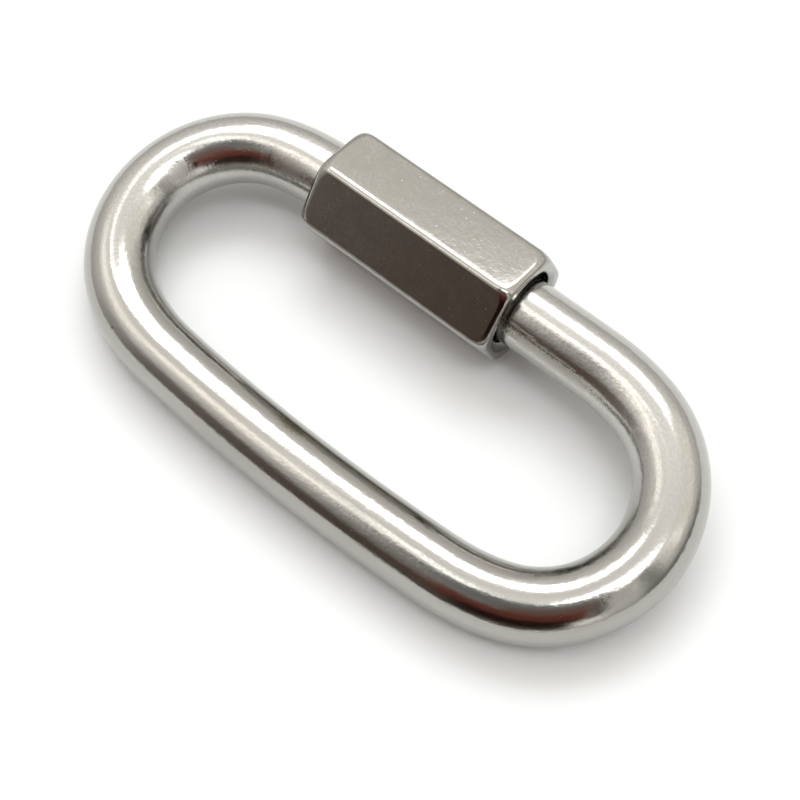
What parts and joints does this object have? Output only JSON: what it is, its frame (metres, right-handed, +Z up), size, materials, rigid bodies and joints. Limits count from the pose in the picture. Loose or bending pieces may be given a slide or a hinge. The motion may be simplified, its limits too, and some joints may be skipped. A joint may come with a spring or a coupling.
{
  "type": "chain quick link",
  "caption": "Oval loop of polished stainless round bar with a screwed gate: a long hexagonal sleeve nut runs along the bar to open or close the loop.",
  "frame": {"origin": "on the surface that the link lies on, under the middle of its bounding box", "axes": "+X along the loop and the nut's axis, in the direction the nut runs to open the gate; +Y towards the nut's side; +Z up from the surface"},
  "size_m": [0.075, 0.0376, 0.013],
  "materials": {
    "bar_steel": "polished, with faint pits and handling marks",
    "nut_steel": "polished, with fine speckle on the flats and bright rounded edges"
  },
  "bodies": {
    "link": {"link_body": "bar_steel"},
    "nut": {"sleeve_nut": "nut_steel"}
  },
  "joints": [
    {"name": "nut_travel", "type": "slide", "parent": "link", "child": "nut", "axis": [1, 0, 0], "range_m": [0, 0.0135]}
  ]
}
